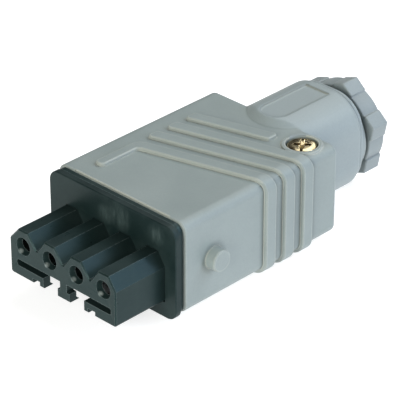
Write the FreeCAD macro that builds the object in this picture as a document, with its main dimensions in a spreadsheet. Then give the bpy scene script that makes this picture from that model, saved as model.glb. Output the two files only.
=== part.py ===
# Four-contact cable socket connector: black contact carrier in a grey ribbed housing with a cable gland.
# X is right, Y runs from the contacts to the gland, Z is up. The origin is on the surface that it lies on,
# under the middle of its whole length. The gland nut is the lowest piece. Millimetres.
import FreeCAD, Part
import os
import re
import Sketcher

doc = FreeCAD.newDocument("CableSocket")
sheet = doc.addObject("Spreadsheet::Sheet", "Dims")

# Driving dimensions, lengths along Y are measured from the front rim of the housing
dimensions = {
    "contact_pitch": 8.0,
    "housing_width": 37.6,
    "housing_height": 21.6,
    "housing_length": 46.7,
    "housing_wall": 2.0,
    "rear_wall": 2.0,
    "edge_round": 2.2,
    "rear_round": 1.0,
    "rim_round": 0.35,
    "cavity_round": 0.8,
    "rim_step_half": 14.0,
    "rim_step_length": 0.3,
    "rim_step_depth": 0.4,
    "rib_height": 0.8,
    "rib_width": 3.1,
    "rib_pitch": 5.8,
    "rib_first": 23.4,
    "rib_slope": 0.28,
    "rib_left": 12.8,
    "rib_end_round": 0.7,
    "rib_soften": 0.3,
    "leg_front": 4.7,
    "leg_width": 2.4,
    "leg_end_round": 1.1,
    "leg_corner_round": 3.4,
    "short_rib_right": 7.0,
    "peg_radius": 2.5,
    "peg_reach": 2.6,
    "peg_back": 8.25,
    "peg_drop": 0.3,
    "peg_soften": 0.35,
    "neck_width": 22.4,
    "neck_rise": 12.3,
    "neck_drop": 11.5,
    "neck_round": 8.6,
    "neck_reach": 16.9,
    "neck_soften": 1.0,
    "nose_radius": 8.4,
    "nose_lead": 4.8,
    "nose_slope": 1.2,
    "nose_soften": 0.6,
    "neck_root": 0.1,
    "pad_half": 3.4,
    "pad_depth": 0.35,
    "pad_front": 2.2,
    "pad_rear": 2.6,
    "neck_bore_radius": 6.0,
    "thread_depth": 0.45,
    "thread_clearance": 0.05,
    "collar_step": 1.2,
    "collar_length": 2.5,
    "collar_soften": 0.3,
    "spigot_length": 6.3,
    "spigot_soften": 0.4,
    "spigot_wall": 1.9,
    "seal_bore_radius": 4.5,
    "seal_length": 8.4,
    "seal_clearance": 0.05,
    "seal_soften": 0.6,
    "ring_thick": 1.0,
    "ring_clearance": 0.35,
    "ring_bore_radius": 5.2,
    "nut_flats": 21.4,
    "nut_gap": 3.3,
    "nut_hex_length": 4.9,
    "nut_length": 7.0,
    "nut_wall": 1.4,
    "nut_dome_inset": 0.1,
    "nut_dome_slope": 2.6,
    "nut_back_wall": 1.5,
    "nut_hole_radius": 5.6,
    "nut_turn": 19.5,
    "nut_dip_width": 5.4,
    "nut_dip_depth": 0.1,
    "screw_from_side": 5.7,
    "screw_from_rear": 5.3,
    "screw_boss_radius": 4.5,
    "screw_boss_rise": 0.4,
    "screw_boss_soften": 0.25,
    "screw_recess_radius": 3.6,
    "screw_seat_depth": 3.4,
    "screw_seat_thick": 2.0,
    "screw_head_radius": 3.1,
    "screw_head_height": 3.15,
    "screw_head_soften": 0.5,
    "screw_radius": 1.7,
    "screw_length": 9.5,
    "screw_hole_clearance": 0.3,
    "screw_slot_width": 0.9,
    "screw_slot_depth": 1.1,
    "washer_thick": 0.5,
    "washer_radius": 3.15,
    "bush_radius": 2.4,
    "bush_length": 8.0,
    "bush_clearance": 0.05,
    "flange_gap": 0.15,
    "flange_thick": 1.15,
    "flange_inset": 0.65,
    "flange_corner": 2.05,
    "flange_top_drop": 0.3,
    "gasket_thick": 1.5,
    "gasket_soften": 0.25,
    "gasket_clearance": 0.1,
    "block_left": 16.2,
    "block_right": 15.5,
    "block_corner": 0.8,
    "block_reach": 16.8,
    "block_foot": 7.8,
    "block_bevel": 0.3,
    "shoulder_rise": 0.65,
    "valley_rise": 0.55,
    "valley_flat": 0.5,
    "tower_rise": 3.7,
    "tower_flat": 3.0,
    "front_plate": 2.0,
    "lip_barb": 0.8,
    "slot_end_round": 0.5,
    "channel_half": 14.1,
    "channel_height": 4.4,
    "slot_low": 2.55,
    "slot_high": 4.1,
    "stem_half": 1.0,
    "foot_half": 1.75,
    "foot_rise": 2.1,
    "opening_half": 6.15,
    "notch_inner": 7.2,
    "notch_outer": 9.4,
    "notch_rise": 1.2,
    "carrier_clearance": 0.2,
    "carrier_length": 19.0,
    "arm_wall": 2.3,
    "arm_clearance": 0.3,
    "chamber_half": 3.0,
    "chamber_front": 4.0,
    "mouth_radius": 2.1,
    "mouth_throat": 1.62,
    "mouth_lip": 1.3,
    "contact_radius": 2.15,
    "contact_clearance": 0.1,
    "contact_bore_radius": 1.6,
    "contact_bore_depth": 15.0,
    "contact_slit": 0.4,
    "contact_slit_length": 9.0,
    "terminal_half": 2.7,
    "terminal_drop": 3.6,
    "terminal_rise": 4.0,
    "terminal_length": 9.5,
    "wire_half": 1.8,
    "wire_low": 2.6,
    "wire_high": 1.6,
    "wire_depth": 8.0,
    "plate_half": 1.6,
    "plate_thick": 0.6,
    "plate_end_gap": 0.8,
    "plate_height": 0.4,
    "clamp_screw_radius": 1.45,
    "clamp_screw_clearance": 0.05,
    "clamp_head_radius": 2.4,
    "clamp_head_height": 1.7,
    "clamp_head_gap": 0.3,
    "clamp_slot_width": 0.7,
    "clamp_slot_depth": 0.8,
}

# Places worked out from the driving dimensions
places = {
    "gland_back": "housing_length + neck_reach + nut_gap + nut_length",
    "rim": "-(gland_back - block_reach) / 2",
    "side": "housing_width / 2",
    "axis": "nut_flats / sqrt(3) * cos((30 - nut_turn) * 1 deg)",
    "floor": "axis - housing_height / 2",
    "roof": "floor + housing_height",
    "rib_floor": "floor - rib_height",
    "rear": "rim + housing_length",
    "thread_radius": "nut_flats / 2 - nut_wall",
    "seal_radius": "thread_radius - spigot_wall",
    "neck_end": "rear + neck_reach",
    "neck_top": "axis + neck_rise",
    "spigot_end": "neck_end + spigot_length",
    "nut_front": "neck_end + nut_gap",
    "nut_shoulder": "nut_front + nut_length - nut_back_wall",
    "block_front": "rim - block_reach",
    "flange_back": "rim - flange_gap",
    "flange_front": "flange_back - flange_thick",
    "gasket_front": "flange_front - gasket_thick",
    "block_floor": "axis - block_foot",
    "screw_x": "side - screw_from_side",
    "screw_y": "rear - screw_from_rear",
    "arm_left": "screw_x - bush_radius - arm_wall",
    "screw_seat": "roof - screw_seat_depth",
    "head_seat": "screw_seat + washer_thick",
    "boss_floor": "screw_seat - screw_seat_thick",
    "arm_top": "boss_floor - arm_clearance",
    "chamber_y": "rim + chamber_front",
    "terminal_back": "chamber_y + terminal_length",
    "contact_front": "block_front + mouth_lip",
    "plate_bottom": "axis + plate_height",
    "clamp_seat": "axis + terminal_rise + clamp_head_gap",
}

for row, (name, number) in enumerate(dimensions.items(), 1):
    sheet.set(f"A{row}", name)
    sheet.set(f"B{row}", str(number))
    sheet.setAlias(f"B{row}", name)
for row, (name, formula) in enumerate(places.items(), 1):
    sheet.set(f"D{row}", name)
    sheet.set(f"E{row}", f"={formula}")
    sheet.setAlias(f"E{row}", name)
doc.recompute()

along_y = FreeCAD.Rotation(FreeCAD.Vector(1, 0, 0), -90)
along_x = FreeCAD.Rotation(FreeCAD.Vector(0, 1, 0), 90)
upright = FreeCAD.Rotation()
facing_front = FreeCAD.Rotation(FreeCAD.Vector(1, 0, 0), 90)
facing_right = FreeCAD.Rotation(FreeCAD.Vector(1, 1, 1), 120)
near = 1e-4


def bound(text):
    """The same expression with each sheet name written in full."""
    known = lambda found: f"Dims.{found[0]}" if found[0] in dimensions or found[0] in places else found[0]
    return re.sub(r"[a-z][a-z0-9_]*", known, str(text))


def value(text):
    return float(sheet.evalExpression(bound(text)))


def bind(item, **properties):
    for name, text in properties.items():
        item.setExpression(name, bound(text))


def stand(item, turn, x, y, z):
    item.Placement = FreeCAD.Placement(FreeCAD.Vector(), turn)
    for letter, text in zip("xyz", (x, y, z)):
        item.setExpression(f"Placement.Base.{letter}", bound(text))


def box(name, x, y, z):
    """A block between a low and a high expression along each axis."""
    item = doc.addObject("Part::Box", name)
    bind(item, Length=f"({x[1]}) - ({x[0]})", Width=f"({y[1]}) - ({y[0]})", Height=f"({z[1]}) - ({z[0]})")
    stand(item, upright, x[0], y[0], z[0])
    return item


def rod(name, radius, length, turn, x, y, z):
    item = doc.addObject("Part::Cylinder", name)
    bind(item, Radius=radius, Height=length)
    stand(item, turn, x, y, z)
    return item


def cone(name, radius, end_radius, length, turn, x, y, z):
    item = doc.addObject("Part::Cone", name)
    bind(item, Radius1=radius, Radius2=end_radius, Height=length)
    stand(item, turn, x, y, z)
    return item


def fuse(name, *items):
    item = doc.addObject("Part::MultiFuse", name)
    item.Shapes = list(items)
    item.Refine = True
    return item


def common(name, *items):
    item = doc.addObject("Part::MultiCommon", name)
    item.Shapes = list(items)
    item.Refine = True
    return item


def cut(name, base, *tools):
    item = doc.addObject("Part::Cut", name)
    item.Base = base
    item.Tool = tools[0] if len(tools) == 1 else fuse(f"{name}_tools", *tools)
    item.Refine = True
    return item


def soften(name, base, radius, pick, kind="Part::Fillet"):
    """Round, or bevel, the edges of a finished shape that pick accepts."""
    doc.recompute()
    size = value(radius)
    item = doc.addObject(kind, name)
    item.Base = base
    item.Edges = [(number, size, size) for number, edge in enumerate(base.Shape.Edges, 1) if pick(edge)]
    return item


def runs_along(letter):
    """Accepts straight edges along one axis."""
    def test(edge):
        span = edge.BoundBox
        lengths = {"x": span.XLength, "y": span.YLength, "z": span.ZLength}
        others = [length for other, length in lengths.items() if other != letter]
        return max(others) < near < lengths[letter]
    return test


def lies_at(letter, text):
    """Accepts edges that lie in one plane across an axis."""
    level = value(text)
    def test(edge):
        span = edge.BoundBox
        ends = {"x": (span.XMin, span.XMax), "y": (span.YMin, span.YMax), "z": (span.ZMin, span.ZMax)}
        low, high = ends[letter]
        return abs(low - level) < near and abs(high - level) < near
    return test


def both(*tests):
    return lambda edge: all(test(edge) for test in tests)


def draw(sketch, corners):
    """A closed outline whose corners are held to expressions."""
    spots = [FreeCAD.Vector(value(across), value(up), 0) for across, up in corners]
    count = len(spots)
    for number in range(count):
        sketch.addGeometry(Part.LineSegment(spots[number], spots[(number + 1) % count]), False)
    for number in range(count):
        sketch.addConstraint(Sketcher.Constraint("Coincident", number, 2, (number + 1) % count, 1))
    for number, (spot, texts) in enumerate(zip(spots, corners)):
        for kind, size, text in (("DistanceX", spot.x, texts[0]), ("DistanceY", spot.y, texts[1])):
            index = sketch.addConstraint(Sketcher.Constraint(kind, -1, 1, number, 1, size))
            sketch.setExpression(f"Constraints[{index}]", bound(text))


def prism(name, corners, turn, start, direction, length):
    """An outline pushed straight along one axis."""
    sketch = doc.addObject("Sketcher::SketchObject", f"{name}_outline")
    draw(sketch, corners)
    stand(sketch, turn, *start)
    item = doc.addObject("Part::Extrusion", name)
    item.Base = sketch
    item.DirMode = "Custom"
    item.Dir = FreeCAD.Vector(*direction)
    item.Solid = True
    bind(item, LengthFwd=length)
    return item


def turned(name, corners, turn, x, y, z):
    """A body turned on its own axis from an outline of radius and height."""
    body = doc.addObject("PartDesign::Body", name)
    sketch = body.newObject("Sketcher::SketchObject", f"{name}_section")
    plane = next(item for item in body.Origin.OriginFeatures if item.Role == "XZ_Plane")
    sketch.AttachmentSupport = [(plane, "")]
    sketch.MapMode = "FlatFace"
    draw(sketch, corners)
    turning = body.newObject("PartDesign::Revolution", f"{name}_turning")
    turning.Profile = sketch
    turning.ReferenceAxis = (sketch, ["V_Axis"])
    turning.Angle = 360
    stand(body, turn, x, y, z)
    return body


def rib_front(number, x):
    """Y of a rib's front edge where it passes x: the ribs lean back towards the right."""
    return f"rim + rib_first + {number} * rib_pitch - rib_slope * (side - ({x}))"


def bar(number, left, right):
    """The plan of one straight rib."""
    left_front, right_front = rib_front(number, left), rib_front(number, right)
    return [(left, left_front), (right, right_front),
            (right, f"{right_front} + rib_width"), (left, f"{left_front} + rib_width")]


def make_ribs():
    """Grip ribs: slices of a slightly larger box, so they wrap over the right side and underneath."""
    grown_box = box("rib_envelope", ("-side - rib_height", "side + rib_height"),
                    ("rim + rear_round", "rear - rear_round"), ("rib_floor", "roof + rib_height"))
    grown = soften("rib_envelope_round", grown_box, "edge_round + rib_height", runs_along("y"))
    past_side = "side + 2 * rib_height"
    inner = "leg_width - rib_left"
    plans = [[("-rib_left", "rim + leg_front"), (inner, "rim + leg_front"), (inner, rib_front(0, inner)),
              (past_side, rib_front(0, past_side)), (past_side, f"{rib_front(0, past_side)} + rib_width"),
              ("-rib_left", f"{rib_front(0, '-rib_left')} + rib_width")],
             bar(1, "-rib_left", past_side),
             bar(2, "-rib_left", past_side),
             bar(3, "-rib_left", "short_rib_right")]
    ribs = []
    for number, plan in enumerate(plans):
        slab = prism(f"rib_{number}_slab", plan, upright, ("0", "0", "0"), (0, 0, 1), "roof + rib_height")
        if number == 0:
            slab = soften("rib_leg_end", slab, "leg_end_round",
                          both(runs_along("z"), lies_at("y", "rim + leg_front")))
            slab = soften("rib_leg_corner", slab, "leg_corner_round",
                          both(runs_along("z"), lies_at("y", plan[5][1])))
            slab = soften("rib_leg_inside", slab, "leg_end_round",
                          both(runs_along("z"), lies_at("y", plan[2][1])))
        else:
            slab = soften(f"rib_{number}_ends", slab, "rib_end_round", runs_along("z"))
        rib = common(f"rib_{number}_shape", grown, slab)
        on_side = lambda edge: edge.BoundBox.Center.x > value("side")
        upright_edge = runs_along("z")
        ribs.append(soften(f"rib_{number}", rib, "rib_soften",
                           lambda edge: on_side(edge) or not upright_edge(edge)))
    return ribs


def make_neck():
    """The gland neck: a rounded bar with a sloping nose on the housing's roof, a collar and a spigot."""
    across = ("-neck_width / 2", "neck_width / 2")
    height = ("axis - neck_drop", "neck_top")
    bar_box = box("neck_bar", across, ("rear - nose_lead", "neck_end"), height)
    rounded = soften("neck_bar_round", bar_box, "neck_round", runs_along("y"))
    bar_end = soften("neck_bar_end", rounded, "neck_soften", lies_at("y", "neck_end"))
    nose = cone("nose", "nose_radius + nose_slope * housing_wall",
                "nose_radius - nose_slope * (neck_top - roof)",
                "neck_top - roof + housing_wall", upright,
                "0", "rear - nose_lead + nose_radius", "roof - housing_wall")
    straight = box("neck_straight", across, ("rear - neck_root", "neck_end"), height)
    plan = fuse("neck_plan", nose, straight)
    shape = common("neck_shape", bar_end, plan)
    neck = soften("neck", shape, "nose_soften",
                  both(lies_at("z", "neck_top"), lambda edge: edge.BoundBox.YMax < value("rear")))
    spigot = rod("spigot", "thread_radius - thread_depth", "spigot_length + neck_soften", along_y,
                 "0", "neck_end - neck_soften", "axis")
    spigot_round = soften("spigot_round", spigot, "spigot_soften", lies_at("y", "spigot_end"))
    collar = rod("collar", "thread_radius + collar_step", "collar_length + neck_soften", along_y,
                 "0", "neck_end - neck_soften", "axis")
    collar_round = soften("collar_round", collar, "collar_soften", lies_at("y", "neck_end + collar_length"))
    return [neck, spigot_round, collar_round]


def make_housing():
    core_box = box("core_box", ("-side", "side"), ("rim", "rear"), ("floor", "roof"))
    core_long = soften("core_long", core_box, "edge_round", runs_along("y"))
    core_rear = soften("core_rear", core_long, "rear_round", lies_at("y", "rear"))
    core = soften("core", core_rear, "rim_round", lies_at("y", "rim"))
    pegs = rod("peg_bar", "peg_radius", "housing_width + 2 * peg_reach", along_x,
               "-side - peg_reach", "rim + peg_back", "axis - peg_drop")
    pegs_round = soften("pegs", pegs, "peg_soften", lambda edge: not runs_along("x")(edge))
    outside = fuse("housing_outside", core, pegs_round, *make_ribs(), *make_neck())

    cavity_box = box("cavity_box", ("-side + housing_wall", "side - housing_wall"),
                     ("rim - housing_wall", "rear - rear_wall"),
                     ("floor + housing_wall", "roof - housing_wall"))
    cavity = soften("cavity", cavity_box, "cavity_round", runs_along("y"))
    hollow = cut("housing_hollow", outside, cavity)

    boss_rod = rod("screw_boss_rod", "screw_boss_radius", "roof + screw_boss_rise - boss_floor", upright,
                   "screw_x", "screw_y", "boss_floor")
    boss = soften("screw_boss", boss_rod, "screw_boss_soften", lies_at("z", "roof + screw_boss_rise"))
    with_boss = fuse("housing_with_boss", hollow, boss)

    bore = rod("neck_bore", "neck_bore_radius", "neck_reach + rear_wall + spigot_length", along_y,
               "0", "rear - rear_wall - housing_wall", "axis")
    seat = rod("seal_seat", "seal_radius + seal_clearance", "seal_length + housing_wall", along_y,
               "0", "spigot_end - seal_length", "axis")
    recess = rod("screw_recess", "screw_recess_radius", "screw_seat_depth + housing_wall", upright,
                 "screw_x", "screw_y", "screw_seat")
    hole = rod("screw_hole", "screw_radius + screw_hole_clearance", "screw_seat_thick + 2 * washer_thick",
               upright, "screw_x", "screw_y", "boss_floor - washer_thick")
    pad_start = "rear - nose_lead + pad_front + pad_half"
    pad_nose = rod("pad_nose", "pad_half", "housing_wall", upright, "0", pad_start, "neck_top - pad_depth")
    pad_run = box("pad_run", ("-pad_half", "pad_half"), (pad_start, "neck_end - pad_rear"),
                  ("neck_top - pad_depth", "neck_top - pad_depth + housing_wall"))
    step = box("rim_step", ("-rim_step_half", "rim_step_half"),
               ("rim - rim_step_length", "rim + rim_step_length"),
               ("roof - rim_step_depth", "roof + rim_step_depth"))
    return cut("housing", with_boss, bore, seat, recess, hole, pad_nose, pad_run, step)


def block_outline(grow):
    """Section of the contact block across Y: four towers over a flat base, grown by a clearance."""
    left, right = f"-block_left - {grow}", f"block_right + {grow}"
    corners = [(left, f"block_floor - {grow}"), (right, f"block_floor - {grow}")]
    corners.append((right, f"axis + shoulder_rise + {grow}"))
    for number in (3, 2, 1, 0):
        x = f"{number - 1.5} * contact_pitch"
        corners.append((f"{x} + tower_flat / 2 + {grow}", f"axis + tower_rise + {grow}"))
        corners.append((f"{x} - tower_flat / 2 - {grow}", f"axis + tower_rise + {grow}"))
        if number:
            valley = f"{number - 2} * contact_pitch"
            corners.append((f"{valley} + valley_flat / 2", f"axis + valley_rise + {grow}"))
            corners.append((f"{valley} - valley_flat / 2", f"axis + valley_rise + {grow}"))
    corners.append((left, f"axis + shoulder_rise + {grow}"))
    return corners


def key_slot(side_sign):
    """One key slot through the front plate: a low opening beside the foot and a slot above the lip."""
    rise = lambda size: f"block_floor + {size}"
    corners = [("foot_half", "block_floor - block_bevel"), ("opening_half", "block_floor - block_bevel"),
               ("opening_half", rise("slot_low")), ("channel_half", rise("slot_low")),
               ("channel_half", rise("slot_high")), ("stem_half", rise("slot_high")),
               ("stem_half", rise("foot_rise")), ("foot_half", rise("foot_rise"))]
    return [(f"{side_sign} * {x}", z) for x, z in corners]


def plate(name, half_width, low, high, front, back, corner):
    flat = box(f"{name}_flat", (f"-({half_width})", half_width), (front, back), (low, high))
    return soften(f"{name}_corners", flat, corner, runs_along("y"))


def make_carrier():
    back = "flange_back"
    block_raw = prism("block_raw", block_outline("0"), facing_front, ("0", "block_front", "0"), (0, 1, 0),
                      "block_reach - flange_gap")
    block_round = soften("block_round", block_raw, "block_corner",
                         both(runs_along("y"), lies_at("z", "block_floor")))
    block = soften("block", block_round, "block_bevel", lies_at("y", "block_front"), "Part::Chamfer")
    flange = plate("flange", "side - flange_inset", "rib_floor + flange_inset",
                   "roof - flange_top_drop", "flange_front", back, "flange_corner")
    inside = "side - housing_wall - carrier_clearance"
    low, high = "floor + housing_wall + carrier_clearance", "roof - housing_wall - carrier_clearance"
    plug = plate("carrier_plug", inside, low, high, back, "rim + carrier_length", "cavity_round")
    arm = box("carrier_arm", ("arm_left", inside),
              ("rim + carrier_length", "rear - rear_wall - carrier_clearance"), (low, "arm_top"))
    arm_round = soften("carrier_arm_round", arm, "cavity_round",
                       both(runs_along("y"), lies_at("z", low), lies_at("x", inside)))
    solid = fuse("carrier_solid", block, flange, plug, arm_round)

    plate_back = "block_front + front_plate"
    barb_back = f"{plate_back} + lip_barb"
    below, ceiling = "block_floor - block_bevel", "block_floor + channel_height"
    section = [(barb_back, below), ("flange_front", below), ("flange_front", ceiling), (plate_back, ceiling),
               (plate_back, "block_floor + lip_barb"), (barb_back, "block_floor")]
    tools = [prism("channel", section, facing_right, ("-channel_half", "0", "0"), (1, 0, 0),
                   "2 * channel_half")]
    depth = "front_plate + lip_barb + block_bevel"
    for label, sign in (("left", -1), ("right", 1)):
        slot = prism(f"key_slot_{label}", key_slot(sign), facing_front,
                     ("0", "block_front - block_bevel", "0"), (0, 1, 0), depth)
        tools.append(soften(f"key_slot_{label}_end", slot, "slot_end_round",
                            both(runs_along("y"), lies_at("x", f"{sign} * channel_half"))))
        low_x, high_x = sorted((f"{sign} * notch_inner", f"{sign} * notch_outer"), key=value)
        tools.append(box(f"lip_notch_{label}", (low_x, high_x),
                         ("block_front - block_bevel", barb_back),
                         (below, "block_floor + notch_rise")))
    for number in range(4):
        x = f"{number - 1.5} * contact_pitch"
        tools.append(cone(f"mouth_{number}", "mouth_radius", "mouth_throat", "mouth_lip", along_y,
                          x, "block_front", "axis"))
        tools.append(rod(f"contact_seat_{number}", "contact_radius + contact_clearance",
                         "chamber_y - contact_front + block_bevel", along_y, x, "contact_front", "axis"))
        tools.append(box(f"chamber_{number}", (f"{x} - chamber_half", f"{x} + chamber_half"),
                         ("chamber_y", "rim + carrier_length + block_bevel"),
                         ("axis - terminal_drop", "roof")))
    tools.append(rod("bush_seat", "bush_radius + bush_clearance", "bush_length + block_bevel", upright,
                     "screw_x", "screw_y", "arm_top - bush_length"))
    return cut("contact_carrier", solid, *tools)


def make_gasket():
    flat = plate("gasket", "side", "rib_floor", "roof - flange_top_drop", "gasket_front", "flange_front",
                 "flange_corner + flange_inset")
    soft = soften("gasket_soft", flat, "gasket_soften", lies_at("y", "gasket_front"))
    window = prism("gasket_window", block_outline("gasket_clearance"), facing_front,
                   ("0", "gasket_front - gasket_clearance", "0"), (0, 1, 0),
                   "gasket_thick + 2 * gasket_clearance")
    return cut("face_gasket", soft, window)


def make_contact(label, number):
    """A slit socket tube, closed at its back, in one with its square wire terminal."""
    x = f"{number - 1.5} * contact_pitch"
    tube_length = "chamber_y - contact_front"
    corners = [("contact_bore_radius", "0"), ("contact_radius", "0"), ("contact_radius", tube_length),
               ("0", tube_length), ("0", "contact_bore_depth"), ("contact_bore_radius", "contact_bore_depth")]
    tube = turned(f"{label}_tube", corners, along_y, x, "contact_front", "axis")
    block = box(f"{label}_block", (f"{x} - terminal_half", f"{x} + terminal_half"),
                ("chamber_y", "terminal_back"), ("axis - terminal_drop", "axis + terminal_rise"))
    whole = fuse(f"{label}_whole", tube, block)
    wire = box(f"{label}_wire", (f"{x} - wire_half", f"{x} + wire_half"),
               ("terminal_back - wire_depth", "terminal_back + plate_end_gap"),
               ("axis - wire_low", "axis + wire_high"))
    thread = rod(f"{label}_thread", "clamp_screw_radius + clamp_screw_clearance", "terminal_rise", upright,
                 x, "terminal_back - wire_depth / 2", "axis + wire_high - plate_thick")
    slit = ("contact_front - contact_slit", "contact_front + contact_slit_length")
    reach, half = "contact_radius + contact_slit", "contact_slit / 2"
    across = box(f"{label}_slit_across", (f"{x} - ({reach})", f"{x} + {reach}"), slit,
                 (f"axis - {half}", f"axis + {half}"))
    upright_slit = box(f"{label}_slit_upright", (f"{x} - {half}", f"{x} + {half}"), slit,
                       (f"axis - ({reach})", f"axis + {reach}"))
    return cut(label, whole, wire, thread, across, upright_slit)


def make_clamp_screw(label, number):
    """Slotted terminal screw, standing on its wire plate."""
    x = f"{number - 1.5} * contact_pitch"
    y = "terminal_back - wire_depth / 2"
    tip = "plate_bottom + plate_thick"
    seat = f"clamp_seat - ({tip})"
    top = f"{seat} + clamp_head_height"
    corners = [("0", "0"), ("clamp_screw_radius", "0"), ("clamp_screw_radius", seat),
               ("clamp_head_radius", seat), ("clamp_head_radius", top), ("0", top)]
    blank = turned(f"{label}_blank", corners, upright, x, y, tip)
    reach, half = "clamp_head_radius + clamp_slot_width", "clamp_slot_width / 2"
    head_top = "clamp_seat + clamp_head_height"
    slot = box(f"{label}_slot", (f"{x} - ({reach})", f"{x} + {reach}"), (f"{y} - {half}", f"{y} + {half}"),
               (f"{head_top} - clamp_slot_depth", f"{head_top} + clamp_slot_depth"))
    return cut(label, blank, slot)


def make_wire_plate(label, number):
    x = f"{number - 1.5} * contact_pitch"
    flat = box(f"{label}_flat", (f"{x} - plate_half", f"{x} + plate_half"),
               ("terminal_back - wire_depth + plate_end_gap", "terminal_back - plate_end_gap"),
               ("plate_bottom", "plate_bottom + plate_thick"))
    return soften(label, flat, "plate_thick / 4", runs_along("x"))


def hexagon(name, turn):
    item = doc.addObject("Part::Prism", name)
    item.Polygon = 6
    bind(item, Circumradius="nut_flats / sqrt(3)", Height="nut_hex_length")
    stand(item, turn, "0", "nut_front", "axis")
    return item


def make_gland_nut():
    """Union nut: six flat-sided lobes on a round body, and a cone at the cable end."""
    spin = along_y.multiply(FreeCAD.Rotation(FreeCAD.Vector(0, 0, 1), -value("nut_turn")))
    low, high = "-nut_dip_width / 2", "nut_dip_width / 2"
    strip = [("-nut_flats", low), ("nut_flats", low), ("nut_flats", high), ("-nut_flats", high)]
    dips = []
    for number in range(3):
        turn = spin.multiply(FreeCAD.Rotation(FreeCAD.Vector(0, 0, 1), 30 + 60 * number))
        dips.append(prism(f"nut_dips_{number}", strip, turn, ("0", "nut_front", "axis"), (0, 1, 0),
                          "nut_hex_length"))
    lobes = cut("nut_lobes", hexagon("nut_hexagon", spin), *dips)
    body = rod("nut_body", "nut_flats / 2 - nut_dip_depth", "nut_hex_length", along_y,
               "0", "nut_front", "axis")
    whole = fuse("nut_grip", lobes, body)
    wide = "nut_flats / 2 - nut_dome_inset"
    dome = cone("nut_dome", wide, f"{wide} - nut_dome_slope", "nut_length - nut_hex_length", along_y,
                "0", "nut_front + nut_hex_length", "axis")
    solid = fuse("nut_solid", whole, dome)
    thread = rod("nut_thread", "thread_radius + thread_clearance", "nut_length - nut_back_wall + nut_gap",
                 along_y, "0", "nut_front - nut_gap", "axis")
    hole = rod("nut_hole", "nut_hole_radius", "nut_length + nut_gap", along_y, "0", "nut_front", "axis")
    return cut("gland_nut", solid, thread, hole)


def make_gland_seal():
    corners = [("seal_bore_radius", "0"), ("seal_radius - seal_soften", "0"), ("seal_radius", "seal_soften"),
               ("seal_radius", "seal_length"), ("seal_bore_radius", "seal_length")]
    return turned("gland_seal", corners, along_y, "0", "spigot_end - seal_length", "axis")


def make_clamp_ring():
    rim_radius = "thread_radius - ring_clearance"
    corners = [("ring_bore_radius", "0"), (rim_radius, "0"), (rim_radius, "ring_thick"),
               ("ring_bore_radius", "ring_thick")]
    return turned("clamp_ring", corners, along_y, "0", "nut_shoulder - ring_thick", "axis")


def make_housing_screw():
    """Captive screw with a rounded cheese head and a combined cross and slot recess."""
    top = "screw_length + screw_head_height"
    corners = [("0", "0"), ("screw_radius", "0"), ("screw_radius", "screw_length"),
               ("screw_head_radius", "screw_length"), ("screw_head_radius", f"{top} - screw_head_soften"),
               ("screw_head_radius - screw_head_soften", top), ("0", top)]
    blank = turned("housing_screw_blank", corners, upright, "screw_x", "screw_y", "head_seat - screw_length")
    head_top = "head_seat + screw_head_height"
    level = (f"{head_top} - screw_slot_depth", f"{head_top} + screw_slot_depth")
    half = "screw_slot_width / 2"
    reach = "screw_head_radius + screw_slot_width"
    slot = box("housing_screw_slot", (f"screw_x - ({reach})", f"screw_x + {reach}"),
               (f"screw_y - {half}", f"screw_y + {half}"), level)
    cross = box("housing_screw_cross", (f"screw_x - {half}", f"screw_x + {half}"),
                ("screw_y - screw_head_radius / 2", "screw_y + screw_head_radius / 2"), level)
    return cut("housing_screw", blank, slot, cross)


def make_washer():
    inner = "screw_radius + screw_hole_clearance"
    corners = [(inner, "0"), ("washer_radius", "0"), ("washer_radius", "washer_thick"),
               (inner, "washer_thick")]
    return turned("screw_washer", corners, upright, "screw_x", "screw_y", "screw_seat")


def make_bush():
    inner = "screw_radius + thread_clearance"
    corners = [(inner, "0"), ("bush_radius", "0"), ("bush_radius", "bush_length"), (inner, "bush_length")]
    return turned("screw_bush", corners, upright, "screw_x", "screw_y", "arm_top - bush_length")


subparts = {"housing": make_housing(), "contact_carrier": make_carrier(), "face_gasket": make_gasket()}
for number in range(4):
    label = "earth_contact" if number == 3 else f"line_contact_{number + 1}"
    subparts[label] = make_contact(label, number)
    subparts[f"clamp_screw_{number + 1}"] = make_clamp_screw(f"clamp_screw_{number + 1}", number)
    subparts[f"wire_plate_{number + 1}"] = make_wire_plate(f"wire_plate_{number + 1}", number)
subparts["gland_nut"] = make_gland_nut()
subparts["gland_seal"] = make_gland_seal()
subparts["clamp_ring"] = make_clamp_ring()
subparts["housing_screw"] = make_housing_screw()
subparts["screw_washer"] = make_washer()
subparts["screw_bush"] = make_bush()
doc.recompute()

failed = [item.Name for item in doc.Objects if "Invalid" in item.State or "Error" in item.State]
if failed:
    raise RuntimeError(f"failed: {failed}")
for label, item in subparts.items():
    item.Label = label
    if item.Shape.isNull() or not item.Shape.isValid():
        raise RuntimeError(f"{label} has no valid shape")

os.makedirs("parts", exist_ok=True)
for label, item in subparts.items():
    item.Shape.exportStep(f"parts/{label}.step")
    print(f"{label}: {len(item.Shape.Solids)} solid, {item.Shape.Volume:.1f} cubic mm")
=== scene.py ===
import bpy
import bmesh
import math
from mathutils import Matrix, Vector


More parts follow.
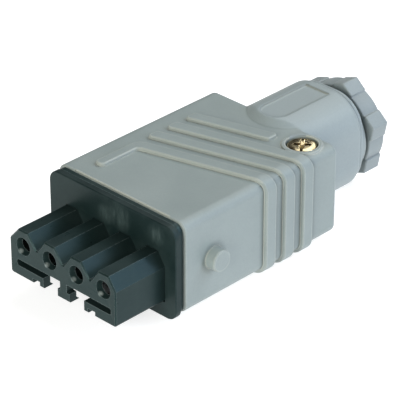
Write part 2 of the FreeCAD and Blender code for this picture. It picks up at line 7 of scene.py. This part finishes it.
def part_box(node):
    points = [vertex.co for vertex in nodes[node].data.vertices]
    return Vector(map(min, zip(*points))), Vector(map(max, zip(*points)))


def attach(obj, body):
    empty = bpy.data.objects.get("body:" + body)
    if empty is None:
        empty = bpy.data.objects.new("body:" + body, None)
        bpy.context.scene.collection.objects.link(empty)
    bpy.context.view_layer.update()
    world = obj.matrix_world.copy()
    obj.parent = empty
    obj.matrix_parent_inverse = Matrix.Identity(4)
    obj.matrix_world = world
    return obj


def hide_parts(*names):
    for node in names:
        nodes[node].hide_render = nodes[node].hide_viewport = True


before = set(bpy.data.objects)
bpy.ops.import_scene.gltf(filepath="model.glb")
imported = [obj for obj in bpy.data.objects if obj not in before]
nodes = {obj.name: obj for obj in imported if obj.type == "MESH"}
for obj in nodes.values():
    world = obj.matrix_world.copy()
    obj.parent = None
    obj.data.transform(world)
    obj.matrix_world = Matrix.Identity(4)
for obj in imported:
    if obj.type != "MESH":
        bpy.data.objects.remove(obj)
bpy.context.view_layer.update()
mm = 0.001
white = (1, 1, 1)
print("frame loaded:", len(nodes), "nodes")

sampling = {"crease": 8, "edge": 6}  # rays that look for corners and edges


class Wire:  # a shader socket that can be used in sums
    def __init__(self, tree, socket):
        self.tree = tree
        self.socket = socket

    # any node: its settings first, then the values or links of its sockets
    def add(self, kind, settings=None, sockets=None, out=0):
        made = self.tree.nodes.new(kind)
        for name, setting in (settings or {}).items():
            if name == "stops":
                self.setStops(made.color_ramp.elements, setting)
            else:
                setattr(made, name, setting)
        for name, given in (sockets or {}).items():
            if isinstance(given, Wire):
                self.tree.links.new(given.socket, made.inputs[name])
            else:
                made.inputs[name].default_value = given
        return Wire(self.tree, made.outputs[out])

    def setStops(self, ramp, stops):  # a stop is a place with a colour or a grey value
        while len(ramp) < len(stops):
            ramp.new(0.5)
        for stop, (place, tone) in zip(ramp, stops):
            colour = tone if hasattr(tone, "__len__") else (tone, tone, tone)
            stop.position = place
            stop.color = (*colour, 1)

    def maths(self, operation, first, second):
        return self.add("ShaderNodeMath", {"operation": operation}, {0: first, 1: second})

    def vectors(self, operation, first, second, out=0):
        return self.add("ShaderNodeVectorMath", {"operation": operation}, {0: first, 1: second}, out)

    def __add__(self, other):
        return self.maths("ADD", self, other)

    def __sub__(self, other):
        return self.maths("SUBTRACT", self, other)

    def __rsub__(self, other):
        return self.maths("SUBTRACT", other, self)

    def __mul__(self, other):
        return self.maths("MULTIPLY", self, other)

    __radd__ = __add__
    __rmul__ = __mul__

    def most(self, other):  # the greater of two values
        return self.maths("MAXIMUM", self, other)

    def above(self, limit):  # 1 over a value, else 0
        return self.maths("GREATER_THAN", self, limit)

    def below(self, limit):  # 1 under a value, else 0
        return self.maths("LESS_THAN", self, limit)

    def band(self, low, high):  # 1 between two values, else 0
        return self.above(low) * self.below(high)

    def ramp(self, *stops):  # a grey or coloured ramp along this value
        return self.add("ShaderNodeValToRGB", {"stops": stops}, {"Fac": self}, "Color")

    def blend(self, other, factor, kind="MIX"):  # this colour with another laid over it
        top = other if isinstance(other, Wire) else (*other, 1)
        return self.add("ShaderNodeMix", {"data_type": "RGBA", "blend_type": kind},
                        {"Factor": factor, 6: self, 7: top}, 2)

    def noise(self, size, detail=3.0, rough=0.55):  # this vector read as noise with lumps of that size
        return self.add("ShaderNodeTexNoise", {}, {"Vector": self, "Scale": 1 / size, "Detail": detail,
                                                   "Roughness": rough}, "Fac")

    def stretched(self, scale):  # this vector scaled along each axis, for streaks
        return self.vectors("MULTIPLY", self, scale)

    def crease(self, reach, alone=False):  # 1 in the open, towards 0 in corners, of this piece alone if wished
        return self.add("ShaderNodeAmbientOcclusion", {"samples": sampling["crease"], "only_local": alone},
                        {"Distance": reach}, "AO")

    def rounded(self, radius):  # the normal as if edges were rounded off
        return self.add("ShaderNodeBevel", {"samples": sampling["edge"]}, {"Radius": radius}, "Normal")

    def normal(self):  # the normal as the mesh has it
        return self.add("ShaderNodeNewGeometry", {}, {}, "Normal")

    def edge(self, radius):  # 0 on flats, rising on edges
        return 1 - self.vectors("DOT_PRODUCT", self.rounded(radius), self.normal(), "Value")

    def facing(self, axis):  # how far the surface faces along an axis
        return self.normal().along(axis)

    def bump(self, strength, depth, **under):  # this height as a normal, over another where one is given
        return self.add("ShaderNodeBump", {}, {"Strength": strength, "Distance": depth, "Height": self,
                                               **under}, "Normal")

    def near(self, centre, reach):  # 1 at a place, falling to 0 at that reach
        gone = self.vectors("DISTANCE", self, centre, "Value")
        return (gone * (1 / reach)).ramp((0.0, 1.0), (0.35, 0.9), (1.0, 0.0))

    def along(self, axis):  # one coordinate of this vector
        return self.add("ShaderNodeSeparateXYZ", {}, {"Vector": self}, axis)

    def swing(self, amount):  # this noise as a change to either side of nothing
        return (self - 0.5) * amount


def newMaterial(name, **fixed):
    made = bpy.data.materials.new(name)
    made.use_nodes = True
    shader = made.node_tree.nodes["Principled BSDF"]
    for socket, value in fixed.items():
        shader.inputs[socket.replace("_", " ")].default_value = value
    place = Wire(made.node_tree, None).add("ShaderNodeTexCoord", {}, {}, "Object")
    return made, shader, place


def plug(shader, **wires):
    for socket, wire in wires.items():
        wire.tree.links.new(wire.socket, shader.inputs[socket.replace("_", " ")])


# grey moulded plastic of the housing, and a cooler one with softer edges for the gland nut
greyLook = {"shade": (0.258, 0.305, 0.297), "pale": (0.28, 0.326, 0.317), "dusk": (0.24, 0.287, 0.28),
            "cloud": 14 * mm, "fleck": 0.5 * mm, "fleckShade": 0.93, "fleckShare": 0.6,
            "wearAndHighlight": (0.5, 0.525, 0.465), "wornFrom": 0.015, "wornFull": 0.075, "wornShare": 0.95,
            "roughness": 0.44, "cloudRough": 0.12, "fleckRough": 0.1, "bending": 1.5,
            "grain": 0.16 * mm, "grainDepth": 0.006 * mm, "grainStrength": 0.4, "fleckHeight": 0.4,
            "soft": 0.25 * mm, "softNeck": 0.9 * mm, "edge": 0.65 * mm, "crease": 0.6 * mm,
            "neckStart": 12.8 * mm, "neckEnd": 37.0 * mm, "neckHalf": 11.4 * mm, "neckRoot": 18.2 * mm,
            "neckPaintedSky": (0.292, 0.342, 0.344), "roof": 23.05 * mm, "wallTop": 22.45 * mm,
            "frontward": -0.35, "rightward": 0.45, "ribFoot": 22.97 * mm, "ribTurn": 12.0 * mm, "litFlank": 0.3,
            "panelFoot": 23.3 * mm, "panelLift": 0.55, "creaseShade": 0.15, "creaseShadeTone": (0.42, 0.44, 0.43),
            "deepShade": 1.0, "deepReach": 1.6 * mm, "deepShadeTone": (0.28, 0.31, 0.3),
            "peg": (20.0 * mm, -20.3 * mm, 11.85 * mm), "pegReach": 7.0 * mm, "pegClear": 0.85}
nutLook = {**greyLook, "shade": (0.252, 0.293, 0.298), "pale": (0.268, 0.31, 0.314),
           "dusk": (0.237, 0.279, 0.283), "wearAndHighlight": (0.32, 0.36, 0.36), "soft": 0.6 * mm,
           "creaseShade": 0.1, "deepShade": 0.0, "litFlank": 0.0}


def greyMoulding(name, look):
    made, shader, place = newMaterial(name, IOR=look["bending"])
    across, back, height = (place.along(axis) for axis in "XYZ")
    cloud = place.noise(look["cloud"])
    fleck = place.noise(look["fleck"], 2)
    grain = place.noise(look["grain"], 2)

    # neck painted paler and bluer as a painted reflection of the sky, and fine flecks everywhere
    neck = (back.band(look["neckStart"], look["neckEnd"])
            * across.band(-look["neckHalf"], look["neckHalf"]))
    awayFromNeck = 1 - neck
    skyLitNeck = neck * back.above(look["neckRoot"]).most(height.above(look["roof"]))
    clouded = cloud.ramp((0.3, look["dusk"]), (0.5, look["shade"]), (0.7, look["pale"]))
    colour = clouded.blend(look["neckPaintedSky"], skyLitNeck)
    speckle = fleck.ramp((0.35, look["fleckShade"]), (0.65, 1.0))
    flecked = colour.blend(speckle, look["fleckShare"], "MULTIPLY")

    # rib flanks of the roof painted pale as painted front light, the neck panel's groove painted pale to lift
    # its shade, and edges painted pale as wear and painted highlight
    bare = place.crease(look["crease"])
    towardFront = place.facing("Y").below(look["frontward"])
    towardRight = place.facing("X").above(look["rightward"])
    ribSide = towardFront.most(towardRight * across.below(look["ribTurn"]))
    litFlank = ribSide * height.above(look["ribFoot"]) * awayFromNeck
    # painted light: the shaded groove round the neck's panel is painted paler
    groove = neck * height.above(look["panelFoot"]) * bare.ramp((0.6, 1.0), (0.97, 0.0))
    lit = flecked.blend(look["wearAndHighlight"], look["litFlank"] * litFlank)
    lifted = lit.blend(look["wearAndHighlight"], look["panelLift"] * groove)
    # edges painted pale: partly wear, partly painted highlight
    raised = place.crease(look["crease"], True).ramp((0.55, 0.0), (0.75, 1.0))
    edge = place.edge(look["edge"]) * raised * awayFromNeck
    edgeWearAndHighlight = edge.ramp((look["wornFrom"], 0.0), (look["wornFull"], look["wornShare"]))
    wearAndHighlight = lifted.blend(look["wearAndHighlight"], edgeWearAndHighlight)

    # painted shade in the creases, deepest between the ribs of the right wall
    creaseShade = bare.ramp((0.46, look["creaseShadeTone"]), (0.68, white))
    creaseShaded = wearAndHighlight.blend(creaseShade, look["creaseShade"] * awayFromNeck, "MULTIPLY")
    wall = towardRight * height.below(look["wallTop"]) * awayFromNeck
    clear = 1 - look["pegClear"] * place.near(look["peg"], look["pegReach"])
    deepShade = place.crease(look["deepReach"]).ramp((0.68, look["deepShadeTone"]), (0.96, white))
    shaded = creaseShaded.blend(deepShade, look["deepShade"] * wall * clear, "MULTIPLY")

    rough = look["roughness"] + cloud.swing(look["cloudRough"]) + fleck.swing(look["fleckRough"])
    smooth = place.rounded(look["soft"]).blend(place.rounded(look["softNeck"]), neck)
    relief = grain + fleck * look["fleckHeight"]
    plug(shader, Base_Color=shaded, Roughness=rough,
         Normal=relief.bump(look["grainStrength"], look["grainDepth"], Normal=smooth))
    return made


# satin mouldings: what they share, then the black carrier, the gasket, the gland seal and the clamp ring
satinLook = {"shine": 0.5, "sheen": (*white, 1), "highlightTone": white, "paintedHighlights": [], "cloudGrit": 0.6,
             "scuff": 0.35 * mm, "scuffPull": (1.0, 0.12, 1.0), "scuffShare": 0.5,
             "streak": 0.9 * mm, "streakPull": (1.0, 1.0, 0.3), "streakGrit": 0.65, "streakLow": 0.1,
             "crease": 0.6 * mm, "edge": 0.24 * mm, "grainWear": 0.4,
             "wornFrom": 0.02, "wornFull": 0.14, "wornShare": 0.85,
             "cloudRough": 0.3, "scuffRough": 0.12, "grainStrength": 0.5}
boreGlint = {"first": -13.1 * mm, "pitch": 8.0 * mm, "face": -45.05 * mm, "height": 10.55 * mm,
           "reach": 0.68 * mm, "count": 4}  # painted glint at the lip of each bore
gasketFace = -31.35 * mm
# black carrier: a painted glint at each bore's lip, and edges painted pale as wear and painted highlight
blackLook = {**satinLook, "shade": (0.0118, 0.0236, 0.0232), "haze": (0.02, 0.033, 0.032),
             "wearAndHighlight": (0.15, 0.19, 0.19), "cloud": 7 * mm, "grain": 0.2 * mm, "roughness": 0.34,
             "grainDepth": 0.012 * mm, "sheen": (0.62, 0.97, 1.0, 1), "shine": 0.22,
             "highlightTone": (0.42, 0.48, 0.465),
             "paintedHighlights": [((boreGlint["first"] + n * boreGlint["pitch"], boreGlint["face"], boreGlint["height"]),
                         boreGlint["reach"]) for n in range(boreGlint["count"])]}
# gasket: soft patches of painted reflection on its face, broken by streaks
gasketLook = {**satinLook, "shade": (0.0078, 0.0175, 0.0172), "haze": (0.02, 0.033, 0.032),
              "wearAndHighlight": (0.018, 0.028, 0.028), "cloud": 8 * mm, "grain": 0.3 * mm, "roughness": 0.46,
              "grainDepth": 0.02 * mm, "sheen": (0.72, 0.97, 1.0, 1), "shine": 0.22,
              "highlightTone": (0.053, 0.078, 0.076),
              "paintedHighlights": [((-1.8 * mm, gasketFace, 18.4 * mm), 2.6 * mm),
                         ((2.4 * mm, gasketFace, 19.6 * mm), 3.8 * mm),
                         ((13.2 * mm, gasketFace, 19.6 * mm), 2.8 * mm)]}
sealLook = {**satinLook, "shade": (0.012, 0.012, 0.012), "haze": (0.026, 0.026, 0.026),
            "wearAndHighlight": (0.04, 0.04, 0.04), "cloud": 3 * mm, "grain": 0.25 * mm, "roughness": 0.6,
            "grainDepth": 0.03 * mm}
ringLook = {**satinLook, "shade": (0.46, 0.45, 0.4), "haze": (0.54, 0.53, 0.48),
            "wearAndHighlight": (0.6, 0.6, 0.56), "cloud": 4 * mm, "grain": 0.2 * mm, "roughness": 0.4,
            "grainDepth": 0.012 * mm}


def satinMoulding(name, look):
    made, shader, place = newMaterial(name, Specular_IOR_Level=look["shine"], Specular_Tint=look["sheen"])
    cloud = place.noise(look["cloud"], 4, look["cloudGrit"])
    grain = place.noise(look["grain"], 2)
    scuff = place.stretched(look["scuffPull"]).noise(look["scuff"])
    colour = cloud.ramp((0.4, look["shade"]), (0.72, look["haze"]))
    scuffsAndHighlights = colour.blend(look["haze"], scuff.ramp((0.58, 0.0), (0.75, look["scuffShare"])))
    # painted highlights laid over the scuffs: glints at the carrier's bores, reflections on the gasket
    for centre, reach in look["paintedHighlights"]:
        streak = place.stretched(look["streakPull"]).noise(look["streak"], 4, look["streakGrit"])
        strength = streak.ramp((0.3, look["streakLow"]), (0.7, 1.0))
        scuffsAndHighlights = scuffsAndHighlights.blend(look["highlightTone"], place.near(centre, reach) * strength)
    # edges painted pale: wear, and on the black carrier also painted highlight
    raised = place.crease(look["crease"]).ramp((0.6, 0.0), (0.85, 1.0))
    edge = place.edge(look["edge"]) * raised * (grain + look["grainWear"])
    edgeWearAndHighlight = edge.ramp((look["wornFrom"], 0.0), (look["wornFull"], look["wornShare"]))
    wearAndHighlight = scuffsAndHighlights.blend(look["wearAndHighlight"], edgeWearAndHighlight)
    rough = look["roughness"] + cloud.swing(look["cloudRough"]) + scuff.swing(look["scuffRough"])
    plug(shader, Base_Color=wearAndHighlight, Roughness=rough,
         Normal=grain.bump(look["grainStrength"], look["grainDepth"]))
    return made


# metals: what they share, then the screw's brass, the line contacts' plating, painted dark as painted shade of
# the bores, and the zinc of the rest
metalLook = {"cloud": 1.6 * mm, "scratch": 0.12 * mm, "scratchPull": (1.0, 1.0, 6.0), "scratchDepth": 0.01 * mm,
             "scratchStrength": 0.3, "crease": 0.5 * mm, "creaseDarkShare": 0.9,
             "cloudRough": 0.2, "scratchRough": 0.16}
brassLook = {**metalLook, "bright": (0.7, 0.6, 0.38), "dark": (0.3, 0.23, 0.13),
             "creaseTone": (0.08, 0.06, 0.045), "cloud": 1.2 * mm, "roughness": 0.14}
# plating painted dark: painted shade of the bores the contacts sit in
shadedSilverLook = {**metalLook, "bright": (0.22, 0.27, 0.26), "dark": (0.1, 0.135, 0.13),
              "creaseTone": (0.2, 0.22, 0.22), "roughness": 0.3}
zincLook = {**metalLook, "bright": (0.66, 0.67, 0.69), "dark": (0.44, 0.45, 0.47),
            "creaseTone": (0.2, 0.21, 0.22), "roughness": 0.34}


def turnedMetal(name, look):
    made, shader, place = newMaterial(name, Metallic=1.0)
    cloud = place.noise(look["cloud"], 4)
    scratch = place.stretched(look["scratchPull"]).noise(look["scratch"], 2)
    colour = cloud.ramp((0.3, look["dark"]), (0.6, look["bright"]))
    # darker in creases and hollows
    creaseTone = place.crease(look["crease"]).ramp((0.2, look["creaseTone"]), (0.75, white))
    creaseDarkened = colour.blend(creaseTone, look["creaseDarkShare"], "MULTIPLY")
    rough = look["roughness"] + cloud.swing(look["cloudRough"]) + scratch.swing(look["scratchRough"])
    plug(shader, Base_Color=creaseDarkened, Roughness=rough,
         Normal=scratch.bump(look["scratchStrength"], look["scratchDepth"]))
    return made


grey = greyMoulding("greyMoulding", greyLook)
nutGrey = greyMoulding("nutMoulding", nutLook)
black = satinMoulding("blackMoulding", blackLook)
gasket = satinMoulding("gasketRubber", gasketLook)
sealRubber = satinMoulding("sealRubber", sealLook)
ring = satinMoulding("ringPlastic", ringLook)
brass = turnedMetal("turnedBrass", brassLook)
shadedSilver = turnedMetal("shadedSilverPlate", shadedSilverLook)
zinc = turnedMetal("zincSteel", zincLook)
print("materials made")

finishOf = {"housing": grey, "gland_nut": nutGrey, "contact_carrier": black, "face_gasket": gasket,
            "gland_seal": sealRubber, "clamp_ring": ring, "housing_screw": brass, "screw_washer": brass,
            "screw_bush": brass}


def finishFor(name):  # line contacts are plated; the earth contact, clamp screws and wire plates are zinc
    return shadedSilver if name.startswith("line_contact") else finishOf.get(name, zinc)


# edges that the CAD leaves sharp, with the width of their rounding
softEdges = {"contact_carrier": 0.18 * mm, "face_gasket": 0.12 * mm, "gland_nut": 0.3 * mm,
             "clamp_ring": 0.15 * mm}
softening = {"weld": 0.002 * mm, "segments": 3, "sharpest": math.radians(24), "weight": 80}


def softenEdges(node, width):
    weld = node.modifiers.new("weld", "WELD")
    weld.merge_threshold = softening["weld"]
    bevel = node.modifiers.new("softEdge", "BEVEL")
    bevel.width = width
    bevel.segments = softening["segments"]
    bevel.limit_method = "ANGLE"
    bevel.angle_limit = softening["sharpest"]
    bevel.harden_normals = False
    shade = node.modifiers.new("shade", "WEIGHTED_NORMAL")
    shade.keep_sharp = False
    shade.weight = softening["weight"]


for name, node in nodes.items():
    node.data.materials.clear()
    node.data.materials.append(finishFor(name))
    if name in softEdges:
        softenEdges(node, softEdges[name])
print("nodes dressed")


def linked(thing):  # an object put into the scene
    bpy.context.scene.collection.objects.link(thing)
    return thing


def finishPiece(name, mesh, body, finish):
    mesh.materials.append(finish)
    for face in mesh.polygons:
        face.use_smooth = True
    piece = linked(bpy.data.objects.new(name, mesh))
    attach(piece, body)
    return piece


def toMesh(name, made):
    bmesh.ops.recalc_face_normals(made, faces=made.faces)
    mesh = bpy.data.meshes.new(name)
    made.to_mesh(mesh)
    made.free()
    return mesh


def onCircle(radius, angle):
    return radius * math.cos(angle), radius * math.sin(angle)


def arcSteps(count):  # angles over a quarter turn, both ends included
    return [math.pi / 2 * n / count for n in range(count + 1)]


def bridge(made, low, high):  # faces between two closed rings; corners that meet on an axis are merged
    count = len(low)
    for n in range(count):
        corners = [low[n], low[(n + 1) % count], high[(n + 1) % count], high[n]]
        made.faces.new(list(dict.fromkeys(corners)))


def lathe(outline, count):  # turned about z from points of radius and height, with its ends on the axis
    made = bmesh.new()
    rings = []
    for radius, height in outline:
        if radius == 0:
            rings.append([made.verts.new((0, 0, height))] * count)
        else:
            rings.append([made.verts.new((*onCircle(radius, math.tau * n / count), height))
                          for n in range(count)])
    for low, high in zip(rings, rings[1:]):
        bridge(made, low, high)
    return made


# rib of a screw thread: its section as shares of depth and pitch, its sunk root and its fading ends
ribShape = {"section": [(0.0, -0.42), (0.55, -0.3), (1.0, -0.1), (1.0, 0.1), (0.55, 0.3), (0.0, 0.42)],
            "sink": 0.05 * mm, "fadeTurns": 1 / 3}


def threadMesh(name, look):
    made = bmesh.new()
    steps = look["steps"]
    count = int(look["turns"] * steps)
    fadeSteps = steps * ribShape["fadeTurns"]
    root = look["root"] - ribShape["sink"]
    rows = []
    for n in range(count + 1):
        fade = min(1.0, n / fadeSteps, (count - n) / fadeSteps)
        row = []
        for rise, along in ribShape["section"]:
            radius = root + (look["crest"] - root) * rise * fade
            height = look["start"] + look["pitch"] * (n / steps + along)
            row.append(made.verts.new((*onCircle(radius, math.tau * n / steps), height)))
        rows.append(row)
    for low, high in zip(rows, rows[1:]):
        bridge(made, low, high)
    for row in (rows[0], rows[-1]):
        made.faces.new(row)
    return toMesh(name, made)


# gland thread behind the collar; the axis runs along y at this height
glandAxis = (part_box("gland_nut")[0][2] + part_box("gland_nut")[1][2]) / 2
glandThread = {"root": 8.85 * mm, "crest": 9.28 * mm, "pitch": 1.411 * mm, "start": 38.3 * mm,
               "turns": 1.8, "steps": 96}
alongY = Matrix.Translation((0, 0, glandAxis)) @ Matrix.Rotation(-math.pi / 2, 4, "X")
glandRib = threadMesh("glandThread", glandThread)
glandRib.transform(alongY)
finishPiece("glandThread", glandRib, "housing", grey)
print("gland thread wound")

# moulded shoulder that follows the neck's outline behind it, seen as a pale line before the nut
shoulder = {"halfWidth": 11.2 * mm, "top": 12.3 * mm, "foot": 11.5 * mm, "corner": 8.6 * mm,
            "gap": 3.3 * mm, "lead": 0.9 * mm, "length": 1.25 * mm, "inset": 0.62 * mm,
            "round": 0.45 * mm, "depth": 2.6 * mm, "cornerSteps": 14, "roundSteps": 3}


def shoulderMesh(look):  # rings of a rounded rectangle, each moved along y and drawn in
    made = bmesh.new()
    middle = glandAxis + (look["top"] - look["foot"]) / 2
    halfHeight = (look["top"] + look["foot"]) / 2
    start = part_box("gland_nut")[0][1] - look["gap"]
    rounding = [(look["length"] - look["round"] * (1 - math.sin(angle)),
                 look["inset"] + look["round"] * (1 - math.cos(angle)))
                for angle in arcSteps(look["roundSteps"])]
    layers = [(-look["lead"], look["inset"]), *rounding, (look["length"], look["depth"])]
    rings = []
    for along, inset in layers:
        points = []
        for quarter, (side, up) in enumerate(((1, 1), (-1, 1), (-1, -1), (1, -1))):
            centre = (side * (look["halfWidth"] - look["corner"]),
                      middle + up * (halfHeight - look["corner"]))
            for angle in arcSteps(look["cornerSteps"]):
                out, rise = onCircle(look["corner"] - inset, angle + quarter * math.pi / 2)
                points.append((centre[0] + out, start + along, centre[1] + rise))
        rings.append([made.verts.new(point) for point in points])
    for low, high in zip(rings, rings[1:] + rings[:1]):
        bridge(made, low, high)
    return toMesh("neckShoulder", made)


finishPiece("neckShoulder", shoulderMesh(shoulder), "housing", grey)
print("neck shoulder made")

# captive screw: cheese head with a slot and a cross recess, on a threaded shank; heights from the head's seat
screwLook = {"headRadius": 3.35 * mm, "headHeight": 3.1 * mm, "headRound": 0.7 * mm, "roundSteps": 5,
             "headEase": 0.15 * mm, "dome": 0.05 * mm, "domeShares": (0.75, 0.5, 0.25), "facets": 96,
             "neck": 1.55 * mm, "neckFlare": 0.2 * mm, "neckFoot": -1.7 * mm,
             "shank": 1.42 * mm, "shankTop": -2.0 * mm, "tip": -9.5 * mm, "tipShare": 0.7, "tipEase": 0.5 * mm,
             "slotWidth": 0.65 * mm, "slotDepth": 1.3 * mm, "saw": 6.2 * mm, "sawFacets": 128,
             "crossWidth": 1.0 * mm, "crossReach": 2.1 * mm, "crossDepth": 1.9 * mm, "crossTaper": 0.62,
             "overcut": 0.6 * mm, "turned": math.radians(-51.5), "edge": 0.13 * mm, "solidHead": 3.15 * mm}
screwThread = {"root": 1.42 * mm, "crest": 1.68 * mm, "pitch": 0.6 * mm, "start": -9.0 * mm,
               "turns": 11.0, "steps": 40}


def screwOutline(look):  # from the tip up the shank, then round the head to its domed top
    top, radius, corner = look["headHeight"], look["headRadius"], look["headRound"]
    flat, ease = radius - corner, look["headEase"]
    shank = [(0, look["tip"]), (look["shank"] * look["tipShare"], look["tip"]),
             (look["shank"], look["tip"] + look["tipEase"]), (look["shank"], look["shankTop"]),
             (look["neck"], look["neckFoot"]), (look["neck"], -ease), (look["neck"] + look["neckFlare"], 0)]
    bend = [(flat + out, top - corner + rise)
            for out, rise in (onCircle(corner, angle) for angle in arcSteps(look["roundSteps"]))]
    dome = [(flat * share, top + look["dome"] * (1 - share ** 2)) for share in look["domeShares"]]
    return [*shank, (radius - ease, 0), (radius, ease), *bend, *dome, (0, top + look["dome"])]


def slotCutter(look):  # a round saw, so that the slot's floor is curved
    made = bmesh.new()
    middle = look["headHeight"] - look["slotDepth"] + look["saw"]
    upright = Matrix.Translation((0, 0, middle)) @ Matrix.Rotation(math.pi / 2, 4, "X")
    bmesh.ops.create_cone(made, cap_ends=True, segments=look["sawFacets"], radius1=look["saw"],
                          radius2=look["saw"], depth=look["slotWidth"], matrix=upright)
    return toMesh("screwSlot", made)


def crossCutter(look, turned):  # one bar of the cross, narrower at its foot
    made = bmesh.new()
    foot, head = look["headHeight"] - look["crossDepth"], look["headHeight"] + look["overcut"]
    ends = []
    for height, size in ((foot, look["crossTaper"]), (head, 1.0)):
        ends.append([made.verts.new((x * look["crossReach"] * size, y * look["crossWidth"] / 2 * size, height))
                     for x, y in ((-1, -1), (1, -1), (1, 1), (-1, 1))])
    for end in ends:
        made.faces.new(end)
    bridge(made, *ends)
    bmesh.ops.rotate(made, verts=made.verts, cent=(0, 0, 0), matrix=Matrix.Rotation(turned, 3, "Z"))
    return toMesh("screwCross", made)


def cutAway(mesh, *cutters):  # the mesh with each cutter taken out of it
    block = linked(bpy.data.objects.new("cutBlock", mesh))
    tools = []
    for cutter in cutters:
        tool = linked(bpy.data.objects.new("cutTool", cutter))
        tools.append(tool)
        taking = block.modifiers.new("take", "BOOLEAN")
        taking.object = tool
        taking.solver = "EXACT"
    bpy.context.view_layer.update()
    done = bpy.data.meshes.new_from_object(block.evaluated_get(bpy.context.evaluated_depsgraph_get()))
    for spare in [block, *tools]:
        bpy.data.objects.remove(spare)
    return done


def makeScrew(look, thread):
    blank = toMesh("screwBlank", lathe(screwOutline(look), look["facets"]))
    cross = [crossCutter(look, turned) for turned in (0, math.pi / 2)]
    joined = bmesh.new()
    joined.from_mesh(cutAway(blank, slotCutter(look), *cross))
    joined.from_mesh(threadMesh("screwThread", thread))
    mesh = bpy.data.meshes.new("captiveScrew")
    joined.to_mesh(mesh)
    joined.free()
    return mesh


screwLow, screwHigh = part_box("housing_screw")
screwSeat = ((screwLow[0] + screwHigh[0]) / 2, (screwLow[1] + screwHigh[1]) / 2,
             screwHigh[2] - screwLook["solidHead"])
screwMesh = makeScrew(screwLook, screwThread)
screwMesh.transform(Matrix.Translation(screwSeat) @ Matrix.Rotation(screwLook["turned"], 4, "Z"))
screw = finishPiece("captiveScrew", screwMesh, "housing_screw", brass)
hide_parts("housing_screw")
softenEdges(screw, screwLook["edge"])
print("captive screw cut")


def aimed(direction):  # the rotation that looks back along a direction
    return (-direction).to_track_quat("-Z", "Y").to_euler()


# camera at the photograph's angle
view = {"azimuth": math.radians(44.233), "elevation": math.radians(30.128), "distance": 0.5323,
        "target": (-0.000426, -0.00455, 0.011093), "lens": 222.29, "sensor": 36, "nearest": 0.01}
level = math.cos(view["elevation"])
back = Vector((math.sin(view["azimuth"]) * level, -math.cos(view["azimuth"]) * level,
               math.sin(view["elevation"])))
camera = linked(bpy.data.objects.new("camera", bpy.data.cameras.new("camera")))
camera.data.lens = view["lens"]
camera.data.sensor_width = view["sensor"]
camera.data.clip_start = view["nearest"]
camera.location = Vector(view["target"]) + back * view["distance"]
camera.rotation_euler = aimed(back)
bpy.context.scene.camera = camera

# pale floor, with a glow of its own that thins the shadow under the part
floorLook = {"size": 6.0, "low": (0.56, 0.56, 0.56), "high": (0.6, 0.6, 0.6), "cloud": 0.4,
             "roughness": 0.9, "shine": 0.1, "glow": 0.75}
bpy.ops.mesh.primitive_plane_add(size=floorLook["size"])
floor = bpy.context.object
floor.name = "floor"
floorPaint, floorShader, floorPlace = newMaterial(
    "floorPaper", Roughness=floorLook["roughness"], Specular_IOR_Level=floorLook["shine"],
    Emission_Color=(*white, 1), Emission_Strength=floorLook["glow"])
floorCloud = floorPlace.noise(floorLook["cloud"], 2)
plug(floorShader, Base_Color=floorCloud.ramp((0.2, floorLook["low"]), (0.8, floorLook["high"])))
floor.data.materials.append(floorPaint)

# soft studio light; the skylight and the overhead lamp stand behind, so the flange shades the towers
lights = {"window": {"from": (0.8, 0.38, 0.3), "size": 0.45, "power": 3.3, "colour": (0.68, 0.77, 1.0)},
          "front": {"from": (0.2, -0.88, 0.36), "size": 0.5, "power": 7.0, "colour": (1.0, 0.985, 0.92)},
          "fill": {"from": (0.58, -0.52, 0.6), "size": 0.25, "power": 0.35, "colour": (0.97, 1.0, 1.0)},
          "skylight": {"from": (0.5, 0.55, 0.68), "size": 0.3, "power": 2.9, "colour": (0.8, 0.9, 1.0)},
          "overhead": {"from": (-0.1, 0.62, 0.82), "size": 1.0, "power": 6.9, "colour": (1.0, 1.0, 0.98)}}
skyLook = {"Color": (0.97, 0.99, 1.0, 1), "Strength": 0.1}
for name, look in lights.items():
    lamp = linked(bpy.data.objects.new(name, bpy.data.lights.new(name, "AREA")))
    lamp.data.size = look["size"]
    lamp.data.energy = look["power"]
    lamp.data.color = look["colour"]
    lamp.location = look["from"]
    lamp.rotation_euler = aimed(Vector(look["from"]))
sky = bpy.data.worlds.new("studio")
sky.use_nodes = True
for socket, value in skyLook.items():
    sky.node_tree.nodes["Background"].inputs[socket].default_value = value
bpy.context.scene.world = sky
bpy.context.scene.view_settings.view_transform = "Standard"
print("studio lit")
